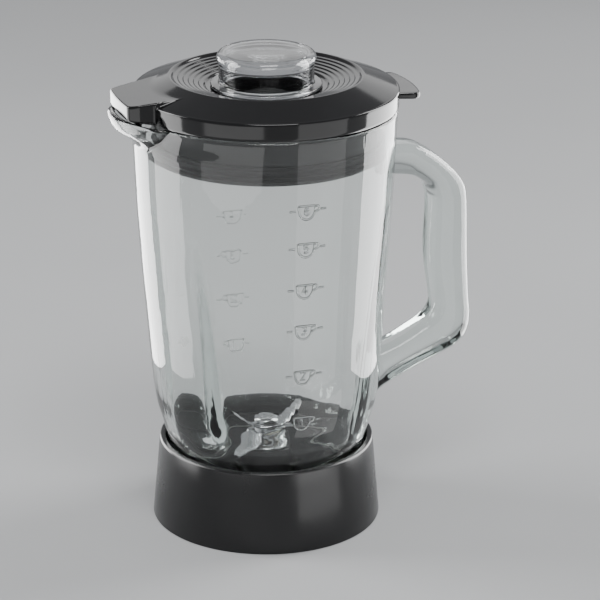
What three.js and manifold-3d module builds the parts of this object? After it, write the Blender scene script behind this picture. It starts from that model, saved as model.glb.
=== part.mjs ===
// Jug assembly of a countertop blender: a clear glass jug with its handle and spout, a gloss
// black lid with a clear measuring cap, and a black collar that holds the blade unit.
// Units are millimetres and +Z is up. The handle points along +X and the spout along -X.
// The foot of the collar stands on z = 0, and the middle of the whole outline is the origin.

import * as THREE from 'three';
import { mergeVertices } from 'three/addons/utils/BufferGeometryUtils.js';
import Module from 'manifold-3d';

const wasm = await Module();
wasm.setup();

// ---------------------------------------------------------------- driving dimensions

const GAP = 0.3;                 // space left between pieces that touch
const FINE = 56;                 // segments round the glass and the collar
const ROUND = 40;                // segments round the lid, the cap and the blade carrier
const SMALL = 16;                // segments round the bearing and shaft pieces

const SPOUT_REACH = 84.4;        // jug axis to the tip of the spout
const HANDLE_REACH = 115.3;      // jug axis to the back of the handle
const AXIS_X = (SPOUT_REACH - HANDLE_REACH) / 2;

const COLLAR_FOOT_R = 62.1;
const COLLAR_TOP_R = 58.1;
const COLLAR_TOP = 44.8;
const COLLAR_WALL = 2.3;
const COLLAR_MOUTH_R = 54.9;     // hole in the top of the collar, round the glass neck
const LUG_ANGLES = [45, 135, 225, 315];
const PILLAR_R = 53;             // circle of the collar screws
const PILLAR_BASE = 1.6;
const PILLAR_TOP = 13.2;
const PILLAR_WIDTH = 10;
const SCREW_R = 1.6;
const SCREW_HEAD_R = 3.4;
const SCREW_BASE = 3.4;          // underside of the head
const SCREW_TOP = 16.3;

const WEB_BASE = PILLAR_TOP + GAP;
const WEB_TOP = 17.3;
const WEB_R = 57.4;
const WEB_HOLE_R = 24;
const GUARD_R = 26.5;            // outside of the guard ring that hangs round the coupling
const GUARD_BASE = 7;
const SLEEVE_R = 54.9;           // inside of the core's sleeve
const SLEEVE_OUTER_R = 56.3;
const SLEEVE_TOP = 33.6;
const LEDGE_R = 52.9;            // inside edge of the bayonet ledges
const LEDGE_BASE = 31.4;
const LEDGE_ANGLE = 40;
const BAYONET_ANGLE = 24;        // length of each glass lug
const BAYONET_BASE = 26;
const BAYONET_TOP = 31;
const BAYONET_R = 54.4;

const CARRIER_R = 52.5;
const CARRIER_BASE = WEB_TOP + GAP;
const FLANGE_TOP = 20.8;
const FLOOR_TOP = 24.6;
const BOSS_TOP = 39.7;
const GASKET_R = 52.2;
const GASKET_BORE_R = 47.8;
const GASKET_BASE = FLANGE_TOP + GAP;
const GASKET_TOP = 23.7;

const NECK_BASE = 24;            // lower rim of the glass
const NECK_R = 52;
const NECK_BORE_R = 47.5;
const RIM = 230.4;               // upper rim of the glass
const RIM_R = 69;
const RIM_BORE_R = 64.2;

const SHAFT_R = 4;
const BORE_R = SHAFT_R + GAP;
const HOUSING_R = 9;
const HOUSING_BORE_R = 6;
const HOUSING_BASE = 12;
const HOUSING_TOP = BOSS_TOP + GAP + 2;
const HOUSING_NUT_FLATS = 24;
const BUSH_R = HOUSING_BORE_R - GAP;
const LOWER_BUSH = [12.4, 20];   // base and top of each piece in the housing's bore
const UPPER_BUSH = [27, 35];
const SHAFT_SEAL = [36, 41.5];
const WASHER_R = 8;
const WASHER_THICK = 1;
const CLIP_BASE = 9.5;
const CLIP_TOP = 10.2;
const SPACER_R = 6.5;
const SPACER_TALL = 1.8;

const BLADE_THICK = 1.5;
const BLADE_HUB = 7.5;           // half width of a blade at its middle
const BLADE_TIP = 4;             // half width where the slanted tip starts
const LOWER_BLADE_REACH = 25;
const LOWER_BLADE_RISE = -5;
const LOWER_BLADE_TURN = 28;
const UPPER_BLADE_REACH = 20;
const UPPER_BLADE_RISE = 12;
const UPPER_BLADE_TURN = 4;
const LOWER_BLADE_BASE = HOUSING_TOP + WASHER_THICK + 2 * GAP;
const SPACER_BASE = LOWER_BLADE_BASE + BLADE_THICK + GAP;
const UPPER_BLADE_BASE = SPACER_BASE + SPACER_TALL + GAP;
const SHAFT_BASE = 3.5;
const SHAFT_TOP = UPPER_BLADE_BASE + 4.7;
const BLADE_NUT_FLATS = 12;
const BLADE_NUT_TALL = 6;

const COUPLING_R = 15;           // middle of the lobes' wave
const LOBES = 6;
const LOBE_DEPTH = 1.8;
const COUPLING_BASE = 2;
const COUPLING_TOP = 9;
const INSERT_FLATS = 13;

const SPOUT_BASE = 211;          // where the spout leaves the wall
const SPOUT_HALF_ANGLE = 26.5;   // half of the spout's width at the rim, in degrees
const LIP_RISE = 0.15;           // slope of the rim towards the spout's tip
const LIP_START = 66;            // distance from the axis at which the rim starts to rise
const RIB_ANGLE = 34;            // the four inner ribs stand this far from the handle's plane
const RIB_TOP = 180;
const RIB_BASE = 52;
const RIB_DEPTH = 6.8;

const HANDLE_WIDTH = 23;
const HANDLE_EDGE = 4.5;         // rounding of the handle's edges

const LID_BASE = RIM + 0.5;
const LID_R = 69.7;
const LID_EDGE = 239.8;
const CREST_R = 50.6;
const CREST = 247.3;
const RECESS = 241;              // floor of the recess round the measuring cap
const FEED_R = 25.5;
const FEED_BASE = 226;
const NOSE_FRONT = 80.6;         // axis to the front of the lid's spout cover
const NOSE_ROOT = 60;
const NOSE_WALL = 2.3;
const TAB_R = 81;
const TAB_ANGLE = 16.5;
const TAB_BASE = 232.9;
const TAB_TOP = 236.2;

const PLUG_BASE = 204.7;
const PLUG_TOP = 239.2;
const PLUG_BASE_R = 58.9;
const PLUG_TOP_R = 61.2;
const PLUG_SHOULDER = 229.5;     // above it the plug is an upright cylinder
const PLUG_LIP_R = 53;
const PLUG_WALL = 2.4;
const SEAL_FINS = [207.9, 210.5, 213.7];
const SEAL_FIN_R = 63;

const CAP_WALL_R = 24.9;
const CAP_BORE_R = 22.7;
const CAP_BASE = 222;
const CAP_FLANGE_R = 29.3;
const CAP_HEAD_R = 26.1;
const CAP_TOP = 260.2;

// ---------------------------------------------------------------- shape helpers

const rad = THREE.MathUtils.degToRad;

// Makes a geometry with shared vertices, no slivers and its faces pointing out.
function closed(geometry) {
  const bare = new THREE.BufferGeometry();
  bare.setAttribute('position', geometry.getAttribute('position'));
  if (geometry.index) bare.setIndex(geometry.index);
  const merged = mergeVertices(bare, 1e-4);
  const from = merged.index.array;
  const p = merged.getAttribute('position');
  const corner = [new THREE.Vector3(), new THREE.Vector3(), new THREE.Vector3()];
  let kept = [];
  let volume = 0;
  for (let i = 0; i < from.length; i += 3) {
    const [a, b, c] = [from[i], from[i + 1], from[i + 2]];
    if (a === b || b === c || c === a) continue;
    kept.push(a, b, c);
    [a, b, c].forEach((vertex, k) => corner[k].fromBufferAttribute(p, vertex));
    volume += corner[0].dot(corner[1].cross(corner[2]));
  }
  if (volume < 0) kept = kept.reverse();
  merged.setIndex(kept);
  return merged;
}

function toManifold(geometry) {
  const shape = closed(geometry);
  return new wasm.Manifold(new wasm.Mesh({
    numProp: 3,
    vertProperties: new Float32Array(shape.getAttribute('position').array),
    triVerts: new Uint32Array(shape.index.array),
  }));
}

function toGeometry(solid) {
  const mesh = solid.getMesh();
  const geometry = new THREE.BufferGeometry();
  geometry.setAttribute('position', new THREE.BufferAttribute(mesh.vertProperties, 3));
  geometry.setIndex(new THREE.BufferAttribute(mesh.triVerts, 1));
  return geometry;
}

const join = (base, ...others) => toGeometry(
  others.reduce((solid, other) => solid.add(toManifold(other)), toManifold(base)));

const cut = (base, ...others) => toGeometry(
  others.reduce((solid, other) => solid.subtract(toManifold(other)), toManifold(base)));

const common = (a, b) => toGeometry(toManifold(a).intersect(toManifold(b)));

// Turns a list of [radius, height] points round the Z axis. A profile that doesn't start and
// end on the axis is closed on itself.
function turned(profile, segments) {
  const points = profile.map(([r, z]) => new THREE.Vector2(r, z));
  const onAxis = points[0].x === 0 && points[points.length - 1].x === 0;
  if (!onAxis) points.push(points[0].clone());
  return closed(new THREE.LatheGeometry(points, segments).rotateX(Math.PI / 2));
}

const ring = (inner, outer, base, top, segments) => turned(
  [[inner, base], [outer, base], [outer, top], [inner, top]], segments);

const rod = (radius, base, top, segments) => turned(
  [[0, base], [radius, base], [radius, top], [0, top]], segments);

// Raises a plan outline from base to top.
function raised(shape, base, top, steps = 12) {
  const options = { depth: top - base, bevelEnabled: false, curveSegments: steps };
  return closed(new THREE.ExtrudeGeometry(shape, options).translate(0, 0, base));
}

// Plan outline of part of a ring, centred on the +X direction.
function sector(inner, outer, halfAngle) {
  const shape = new THREE.Shape();
  shape.absarc(0, 0, outer, -rad(halfAngle), rad(halfAngle), false);
  shape.absarc(0, 0, inner, rad(halfAngle), -rad(halfAngle), true);
  shape.closePath();
  return shape;
}

function hexagon(acrossFlats) {
  const shape = new THREE.Shape();
  const radius = acrossFlats / Math.sqrt(3);
  for (let i = 0; i < 6; i++) {
    shape.lineTo(radius * Math.cos(rad(60 * i)), radius * Math.sin(rad(60 * i)));
  }
  shape.curves.shift();
  shape.closePath();
  return shape;
}

const about = (geometry, degrees) => geometry.clone().rotateZ(rad(degrees));

const at = (geometry, radius, degrees) => about(geometry.clone().translate(radius, 0, 0), degrees);

const smooth = (value, from, to) => THREE.MathUtils.smoothstep(value, from, to);

// ---------------------------------------------------------------- materials

const finish = (color, roughness, metalness, extra = {}) => new THREE.MeshStandardMaterial(
  { color, roughness, metalness, ...extra });

const GLASS = finish(0xdfe9e6, 0.03, 0, { transparent: true, opacity: 0.35 });
const CLEAR = finish(0xeef2f2, 0.06, 0, { transparent: true, opacity: 0.35 });
const GLOSS_BLACK = finish(0x0b0b0d, 0.12, 0);
const SATIN_BLACK = finish(0x121214, 0.38, 0);
const RUBBER = finish(0x1b1b1c, 0.75, 0);
const GASKET = finish(0xc9c8c2, 0.7, 0);
const STEEL = finish(0xc4c7c9, 0.22, 1);
const ZINC = finish(0xa3a6a8, 0.4, 1);
const BRONZE = finish(0x9a7447, 0.45, 1);
const NYLON = finish(0xe2dfd5, 0.55, 0);

// ---------------------------------------------------------------- collar

// Outside radius of the collar, which narrows evenly from its foot to its top.
const collarRadius = (z) => COLLAR_FOOT_R + (COLLAR_TOP_R - COLLAR_FOOT_R) * z / COLLAR_TOP;

function collarShell() {
  const lipBase = COLLAR_TOP - 2.2;
  const wall = turned([
    [COLLAR_FOOT_R - COLLAR_WALL, 0],
    [COLLAR_FOOT_R - 0.5, 0],
    [collarRadius(0.6), 0.6],
    [collarRadius(COLLAR_TOP - 0.8), COLLAR_TOP - 0.8],
    [COLLAR_TOP_R - 0.8, COLLAR_TOP],
    [COLLAR_MOUTH_R, COLLAR_TOP],
    [COLLAR_MOUTH_R, lipBase],
    [collarRadius(lipBase) - COLLAR_WALL, lipBase],
  ], FINE);
  const inset = 6;
  const length = collarRadius(PILLAR_TOP) - 0.9 - (PILLAR_R - inset);
  const height = PILLAR_TOP - PILLAR_BASE;
  const pillar = new THREE.BoxGeometry(length, PILLAR_WIDTH, height);
  pillar.translate(-inset + length / 2, 0, PILLAR_BASE + height / 2);
  const hole = rod(SCREW_R + 0.4, 0, WEB_TOP, SMALL / 2);
  const headRecess = rod(SCREW_HEAD_R + 0.5, 0, SCREW_BASE + 2.3 + GAP, SMALL / 2);
  const pillars = LUG_ANGLES.map((angle) => at(pillar, PILLAR_R, angle));
  const holes = LUG_ANGLES.flatMap((angle) => [at(hole, PILLAR_R, angle), at(headRecess, PILLAR_R, angle)]);
  return cut(join(wall, ...pillars), ...holes);
}

// Flat ring that carries the blade unit and is screwed to the four pillars of the collar.
function collarWeb() {
  const screwHole = rod(SCREW_R + GAP, PILLAR_TOP, SCREW_TOP + GAP, SMALL / 2);
  const holes = LUG_ANGLES.map((angle) => at(screwHole, PILLAR_R, angle));
  return cut(ring(WEB_HOLE_R, WEB_R, WEB_BASE, WEB_TOP, FINE), ...holes);
}

// Sleeve round the glass neck, with the four ledges that the lugs of the glass turn under.
function neckSleeve() {
  const wall = ring(SLEEVE_R, SLEEVE_OUTER_R, WEB_TOP + GAP, SLEEVE_TOP, FINE);
  const ledge = raised(sector(LEDGE_R, SLEEVE_R + 0.7, LEDGE_ANGLE / 2), LEDGE_BASE, SLEEVE_TOP, 5);
  return join(wall, ...LUG_ANGLES.map((angle) => about(ledge, angle)));
}

// Pan-head screw, head down in its recess in the collar.
const collarScrew = () => turned([
  [0, SCREW_BASE],
  [2.6, SCREW_BASE],
  [SCREW_HEAD_R, SCREW_BASE + 0.8],
  [SCREW_HEAD_R, SCREW_BASE + 2.3],
  [SCREW_R, SCREW_BASE + 2.3],
  [SCREW_R, SCREW_TOP],
  [0, SCREW_TOP],
], SMALL / 2);

// ---------------------------------------------------------------- blade unit

const bladeCarrier = () => turned([
  [HOUSING_R + GAP, CARRIER_BASE],
  [12, CARRIER_BASE],
  [12, 21.6],
  [43, 21.6],
  [44, CARRIER_BASE],
  [CARRIER_R, CARRIER_BASE],
  [CARRIER_R, FLANGE_TOP],
  [46.6, FLANGE_TOP],
  [46.2, FLOOR_TOP - 0.6],
  [45.4, FLOOR_TOP],
  [21, FLOOR_TOP],
  [16, 27],
  [13, BOSS_TOP],
  [HOUSING_R + GAP, BOSS_TOP],
], ROUND);

const bearingHousing = () => turned([
  [HOUSING_BORE_R, HOUSING_BASE],
  [HOUSING_R, HOUSING_BASE],
  [HOUSING_R, BOSS_TOP + GAP],
  [12, BOSS_TOP + GAP],
  [12, HOUSING_TOP - 0.8],
  [11, HOUSING_TOP],
  [HOUSING_BORE_R, HOUSING_TOP],
], SMALL);

const housingNut = () => cut(
  raised(hexagon(HOUSING_NUT_FLATS), HOUSING_BASE + 1, CARRIER_BASE - GAP),
  rod(HOUSING_R + GAP, HOUSING_BASE, CARRIER_BASE, SMALL));

const bush = ([base, top]) => ring(BORE_R, BUSH_R, base, top, SMALL);

const thrustWasher = (base) => ring(BORE_R, WASHER_R, base, base + WASHER_THICK, SMALL);

// Shaft with the groove for its retaining clip just below the bearing housing.
const bladeShaft = () => turned([
  [0, SHAFT_BASE],
  [SHAFT_R, SHAFT_BASE],
  [SHAFT_R, CLIP_BASE - 0.2],
  [SHAFT_R - 0.8, CLIP_BASE - 0.2],
  [SHAFT_R - 0.8, CLIP_TOP + 0.2],
  [SHAFT_R, CLIP_TOP + 0.2],
  [SHAFT_R, SHAFT_TOP],
  [0, SHAFT_TOP],
], SMALL);

function retainingClip() {
  const halfOpening = 35;
  const plan = sector(SHAFT_R - 0.5, SHAFT_R + 2.6, 180 - halfOpening);
  return raised(plan, CLIP_BASE, CLIP_TOP, 10);
}

// A blade with two wings. Its side view is a bent strip, and its plan view tapers to the tips.
function blade(base, reach, rise) {
  const [hub, tip] = [BLADE_HUB, BLADE_TIP];
  const side = new THREE.Shape([
    [-reach, rise], [-hub, 0], [hub, 0], [reach, rise],
    [reach, rise + BLADE_THICK], [hub, BLADE_THICK], [-hub, BLADE_THICK], [-reach, rise + BLADE_THICK],
  ].map(([x, z]) => new THREE.Vector2(x, z)));
  const strip = raised(side, -hub, hub).rotateX(Math.PI / 2);
  const wing = new THREE.Shape([
    [-reach - 1, -tip], [0, -hub], [reach - 4, -tip], [reach + 1, 0],
    [reach + 1, tip], [0, hub], [4 - reach, tip], [-reach - 1, 0],
  ].map(([x, y]) => new THREE.Vector2(x, y)));
  const depth = Math.abs(rise) + BLADE_THICK + 1;
  const bent = common(strip, raised(wing, -depth, depth));
  return cut(bent, rod(BORE_R, -depth, depth, SMALL)).translate(0, 0, base);
}

function bladeNut() {
  const base = UPPER_BLADE_BASE + BLADE_THICK + GAP;
  const top = base + BLADE_NUT_TALL;
  const hex = raised(hexagon(BLADE_NUT_FLATS), base, top);
  const dome = turned([
    [0, base], [6.9, base], [6.9, top - 2.4], [5.6, top - 1.2], [3.4, top - 0.4], [0, top - 0.1],
  ], SMALL);
  return cut(common(hex, dome), rod(BORE_R, base - 1, SHAFT_TOP + GAP, SMALL));
}

// Six-lobed drive coupling on the lower end of the shaft, moulded round a metal hexagon.
function driveCoupling() {
  const steps = 48;
  const plan = new THREE.Shape();
  for (let i = 0; i < steps; i++) {
    const angle = 2 * Math.PI * i / steps;
    const radius = COUPLING_R + LOBE_DEPTH * Math.cos(LOBES * angle);
    const [x, y] = [radius * Math.cos(angle), radius * Math.sin(angle)];
    if (i === 0) plan.moveTo(x, y);
    else plan.lineTo(x, y);
  }
  plan.closePath();
  const socket = raised(hexagon(INSERT_FLATS + 2 * GAP), COUPLING_BASE - 1, COUPLING_TOP + 1);
  return cut(raised(plan, COUPLING_BASE, COUPLING_TOP), socket);
}

const couplingInsert = () => cut(
  raised(hexagon(INSERT_FLATS), COUPLING_BASE + GAP, COUPLING_TOP - 0.2),
  rod(BORE_R, COUPLING_BASE, COUPLING_TOP, SMALL));

// ---------------------------------------------------------------- glass jug

const OUTER_WALL = [
  [NECK_R, 24.6], [NECK_R, 40], [53.4, 44], [55, 50], [57.3, 58.5], [59.6, 67], [61.2, 80],
  [63.6, 125], [67.1, 182], [68.4, 212], [68.7, 220.5], [RIM_R, 228.6],
];
const INNER_WALL = [
  [RIM_BORE_R, 228.6], [63.9, 220.5], [63.6, 212], [62.4, 182], [60.6, 152], [58.8, 125],
  [57.3, 96], [55.8, 75], [51.6, 58.5], [49.2, 50], [NECK_BORE_R, 44], [NECK_BORE_R, 24.6],
];

// Outward shift of the wall at a height and at an angle from the spout's direction: a slight
// fullness all over the spout's side, and the spout itself.
function spoutShift(z, angle) {
  const fullness = 2.2 * smooth(z, 60, 150) * (1 - smooth(z, 214, 229));
  const side = Math.max(0, Math.cos(rad(angle))) ** 2;
  const reach = SPOUT_REACH - RIM_R;
  const height = Math.max(0, (z - SPOUT_BASE) / (RIM - SPOUT_BASE));
  const width = SPOUT_HALF_ANGLE * Math.sqrt(height) + 1e-6;
  const across = Math.max(0, 1 - (Math.abs(angle) / width) ** 2.6);
  return fullness * side + reach * smooth(z, SPOUT_BASE + 3, 229) * across;
}

// Inward depth of the four ribs on the inner wall. Each starts as a point near the rim and
// grows deeper and wider towards the floor.
function ribDepth(z, angle) {
  const down = THREE.MathUtils.clamp((RIB_TOP - z) / (RIB_TOP - 70), 0, 1);
  const depth = RIB_DEPTH * down * smooth(z, RIB_BASE - 8, RIB_BASE + 14);
  const halfWidth = 9 + 12 * down;
  const off = Math.abs(Math.abs(Math.abs(angle) - 90) - (90 - RIB_ANGLE)) / halfWidth;
  return off < 1 ? depth * Math.cos(off * Math.PI / 2) ** 2 : 0;
}

function jugBody() {
  const rimRound = [
    [RIM_R - 0.2, RIM - 0.7], [RIM_R - 1.2, RIM], [RIM_BORE_R + 1.2, RIM], [RIM_BORE_R + 0.2, RIM - 0.7],
  ];
  const neckRound = [[NECK_BORE_R + 0.6, NECK_BASE], [NECK_R - 0.6, NECK_BASE]];
  const geometry = turned([...OUTER_WALL, ...rimRound, ...INNER_WALL, ...neckRound], FINE);
  const p = geometry.getAttribute('position');
  for (let i = 0; i < p.count; i++) {
    const [x, y, z] = [p.getX(i), p.getY(i), p.getZ(i)];
    const radius = Math.hypot(x, y);
    const angle = THREE.MathUtils.radToDeg(Math.atan2(y, -x));
    const middle = wallRadius(z);
    const moved = radius + spoutShift(z, angle) - (radius < middle ? ribDepth(z, angle) : 0);
    const newX = x * moved / radius;
    const rise = z > RIM - 3 ? LIP_RISE * Math.max(0, -newX - LIP_START) : 0;
    p.setXYZ(i, newX, y * moved / radius, z + rise);
  }
  return geometry;
}

// Radius of the middle of the glass wall at a height.
function wallRadius(z) {
  const outer = OUTER_WALL.findIndex(([, height]) => height >= z);
  const index = outer < 1 ? (outer < 0 ? OUTER_WALL.length - 1 : 1) : outer;
  const [[r0, z0], [r1, z1]] = [OUTER_WALL[index - 1], OUTER_WALL[index]];
  const share = THREE.MathUtils.clamp((z - z0) / (z1 - z0), 0, 1);
  return r0 + (r1 - r0) * share - 2.2;
}

// Side view of the handle in its own plane, x away from the jug's axis and y up.
function handleOutline() {
  const outer = [
    [62, 204], [80, 203.6], [89, 199.6], [98, 192.8], [106, 184.6], [110.6, 177], [112, 166],
    [113, 138], [114.2, 115], [HANDLE_REACH, 103], [113.6, 93.6], [108.4, 86.4], [100, 82.2], [82, 74.6],
    [54, 60.5],
  ];
  const inner = [
    [54, 84], [72, 91.8], [85, 98.6], [92, 103.6], [94.8, 111.5], [92.6, 128], [90.1, 150],
    [91.6, 170], [88.6, 179.8], [80.5, 185.4], [62, 187.6],
  ];
  const vectors = (points) => points.map(([x, y]) => new THREE.Vector2(x, y));
  const shape = new THREE.Shape();
  shape.moveTo(...outer[0]);
  shape.splineThru(vectors(outer.slice(1)));
  shape.lineTo(...inner[0]);
  shape.splineThru(vectors(inner.slice(1)));
  shape.closePath();
  return shape;
}

function jugHandle() {
  const geometry = new THREE.ExtrudeGeometry(handleOutline(), {
    depth: HANDLE_WIDTH - 2 * HANDLE_EDGE,
    curveSegments: 2,
    bevelThickness: HANDLE_EDGE,
    bevelSize: HANDLE_EDGE,
    bevelOffset: -HANDLE_EDGE,
    bevelSegments: 2,
  });
  geometry.translate(0, 0, HANDLE_EDGE - HANDLE_WIDTH / 2).rotateX(Math.PI / 2);
  const core = OUTER_WALL.map(([r, z]) => [r - 2.2, z]);
  return cut(geometry, turned([[0, NECK_BASE], ...core, [0, RIM]], FINE));
}

function glassJug() {
  const lug = raised(sector(NECK_R - 1, BAYONET_R, BAYONET_ANGLE / 2), BAYONET_BASE, BAYONET_TOP, 3);
  return join(jugBody(), jugHandle(), ...LUG_ANGLES.map((angle) => about(lug, angle)));
}

// ---------------------------------------------------------------- lid

// Plan outline of the spout cover, drawn towards +X.
function noseOutline(inset) {
  const front = NOSE_FRONT - inset;
  const root = NOSE_ROOT + inset / 2;
  const half = 19 - inset;
  const shape = new THREE.Shape();
  shape.moveTo(root, -half - 5.4);
  shape.lineTo(front - 6.5, -half + 0.6);
  shape.quadraticCurveTo(front - 0.9, -half + 1.6, front - 0.5, -half + 8);
  shape.quadraticCurveTo(front + 0.5, 0, front - 0.5, half - 8);
  shape.quadraticCurveTo(front - 0.9, half - 1.6, front - 6.5, half - 0.6);
  shape.lineTo(root, half + 5.4);
  shape.closePath();
  return shape;
}

// Solid inside the spout cover's outline. It follows the rising rim below, and above it slopes
// gently down to its front.
function nose(inset, base, top) {
  const geometry = about(raised(noseOutline(inset), base, top, 4), 180);
  const p = geometry.getAttribute('position');
  const middle = (base + top) / 2;
  for (let i = 0; i < p.count; i++) {
    const reach = -p.getX(i);
    const rise = LIP_RISE * Math.max(0, reach - LIP_START);
    const fall = 0.13 * (reach - NOSE_ROOT);
    p.setZ(i, p.getZ(i) < middle ? p.getZ(i) + rise : p.getZ(i) - fall);
  }
  return geometry;
}

function lidCover() {
  const steps = 3;
  const ridges = [];
  for (let i = 0; i < steps; i++) {
    const radius = CREST_R - 1.6 - i * 5.4;
    const height = CREST - 1.1 - i * 1.6;
    ridges.push([radius, height], [radius - 4.6, height - 0.5]);
  }
  const body = turned([
    [66.9, LID_BASE],
    [LID_R - 0.3, LID_BASE],
    [LID_R, LID_EDGE - 1.4],
    [LID_R - 0.6, LID_EDGE],
    [LID_R - 2.2, LID_EDGE + 1.1],
    [CREST_R + 1, CREST - 0.3],
    [CREST_R, CREST],
    ...ridges,
    [31, RECESS],
    [FEED_R, RECESS],
    [FEED_R, FEED_BASE],
    [FEED_R + 1.9, FEED_BASE],
    [FEED_R + 1.9, RECESS - 2.3],
    [31, RECESS - 2.1],
    [CREST_R - 1, CREST - 3.8],
    [65.6, LID_EDGE - 1.4],
    [66.9, LID_EDGE - 3],
  ], ROUND);
  const underDeck = turned([
    [0, 200], [68.3, 200], [68.3, LID_EDGE - 0.5], [66, LID_EDGE + 0.5], [54, CREST - 2.8], [0, CREST - 2.8],
  ], ROUND);
  const cover = cut(nose(0, LID_BASE, 243.6), underDeck);
  const hollow = cut(nose(NOSE_WALL, LID_BASE - 3, 241.3), rod(LID_R + 0.4, 200, CREST, ROUND));
  const tab = raised(sector(68, TAB_R, TAB_ANGLE), TAB_BASE, TAB_TOP, 6);
  return cut(join(body, cover, tab), hollow);
}

function lidPlug() {
  return turned([
    [PLUG_LIP_R, PLUG_BASE],
    [PLUG_BASE_R - 0.6, PLUG_BASE],
    [PLUG_BASE_R, PLUG_BASE + 0.9],
    [PLUG_TOP_R, PLUG_SHOULDER],
    [PLUG_TOP_R, PLUG_TOP],
    [PLUG_TOP_R - PLUG_WALL, PLUG_TOP],
    [PLUG_TOP_R - PLUG_WALL, PLUG_SHOULDER],
    [PLUG_BASE_R - PLUG_WALL, PLUG_BASE + 2],
    [PLUG_LIP_R, PLUG_BASE + 2],
  ], ROUND);
}

// Rubber band with three fins that press on the inside of the glass.
function lidSeal() {
  const plugRadius = (z) => PLUG_BASE_R
    + (PLUG_TOP_R - PLUG_BASE_R) * (z - PLUG_BASE - 0.9) / (PLUG_SHOULDER - PLUG_BASE - 0.9);
  const base = SEAL_FINS[0] - 1.3;
  const top = SEAL_FINS[2] + 1.8;
  const band = 1.2;
  const fins = SEAL_FINS.flatMap((z) => [
    [plugRadius(z) + band, z - 0.7], [SEAL_FIN_R, z], [plugRadius(z) + band, z + 0.6],
  ]);
  return turned([
    [plugRadius(base) + 0.35, base],
    [plugRadius(base) + band, base],
    ...fins,
    [plugRadius(top) + band, top],
    [plugRadius(top) + 0.35, top],
  ], ROUND);
}

// Clear measuring cap: a cup turned over, with a flange that rests in the lid's recess.
const measuringCap = () => turned([
  [0, CAP_TOP],
  [CAP_HEAD_R - 1.2, CAP_TOP - 1.3],
  [CAP_HEAD_R, CAP_TOP - 2.7],
  [CAP_HEAD_R, CAP_TOP - 5.4],
  [CAP_WALL_R, CAP_TOP - 7],
  [CAP_WALL_R + 0.2, RECESS + 1.9],
  [CAP_FLANGE_R, RECESS + 1.9],
  [CAP_FLANGE_R, RECESS + GAP],
  [CAP_WALL_R, RECESS + GAP],
  [CAP_WALL_R, CAP_BASE],
  [CAP_BORE_R, CAP_BASE],
  [CAP_BORE_R, CAP_TOP - 3.4],
  [0, CAP_TOP - 2.3],
], ROUND);

// ---------------------------------------------------------------- assembly

const blender = new THREE.Group();
blender.position.x = AXIS_X;

function place(name, geometry, material, degrees = 0) {
  const mesh = new THREE.Mesh(geometry, material);
  mesh.name = name;
  mesh.rotation.z = rad(degrees);
  blender.add(mesh);
  return mesh;
}

place('collar_shell', collarShell(), SATIN_BLACK);
place('collar_web', collarWeb(), SATIN_BLACK);
place('neck_sleeve', neckSleeve(), SATIN_BLACK);
place('drive_guard', ring(WEB_HOLE_R, GUARD_R, GUARD_BASE, WEB_BASE - GAP, FINE), SATIN_BLACK);
LUG_ANGLES.forEach((angle, i) => {
  place(`collar_screw_${i + 1}`, at(collarScrew(), PILLAR_R, angle), ZINC);
});

place('blade_carrier', bladeCarrier(), SATIN_BLACK);
place('jug_gasket', ring(GASKET_BORE_R, GASKET_R, GASKET_BASE, GASKET_TOP, ROUND), GASKET);
place('bearing_housing', bearingHousing(), STEEL);
place('housing_nut', housingNut(), ZINC);
place('lower_bush', bush(LOWER_BUSH), BRONZE);
place('upper_bush', bush(UPPER_BUSH), BRONZE);
place('shaft_seal', bush(SHAFT_SEAL), RUBBER);

place('blade_shaft', bladeShaft(), STEEL);
place('retaining_clip', retainingClip(), STEEL);
place('lower_thrust_washer', thrustWasher(HOUSING_BASE - GAP - WASHER_THICK), NYLON);
place('upper_thrust_washer', thrustWasher(HOUSING_TOP + GAP), NYLON);
const lowerBlade = blade(LOWER_BLADE_BASE, LOWER_BLADE_REACH, LOWER_BLADE_RISE);
place('lower_blade', lowerBlade, STEEL, LOWER_BLADE_TURN);
place('blade_spacer', ring(BORE_R, SPACER_R, SPACER_BASE, SPACER_BASE + SPACER_TALL, SMALL), STEEL);
const upperBlade = blade(UPPER_BLADE_BASE, UPPER_BLADE_REACH, UPPER_BLADE_RISE);
place('upper_blade', upperBlade, STEEL, UPPER_BLADE_TURN);
place('blade_nut', bladeNut(), STEEL);
place('coupling_insert', couplingInsert(), ZINC);
place('drive_coupling', driveCoupling(), RUBBER);

place('glass_jug', glassJug(), GLASS);

place('lid_cover', lidCover(), GLOSS_BLACK);
place('lid_plug', lidPlug(), SATIN_BLACK);
place('lid_seal', lidSeal(), RUBBER);
place('measuring_cap', measuringCap(), CLEAR);

export default blender;
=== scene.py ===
"""Looks of a countertop blender's jug assembly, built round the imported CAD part.

Lengths are written in millimetres about the jug's own axis and turned into metres when a mesh is made.
"""

import math

import bmesh
import bpy
import numpy as np
from mathutils import Matrix, Vector


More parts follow.
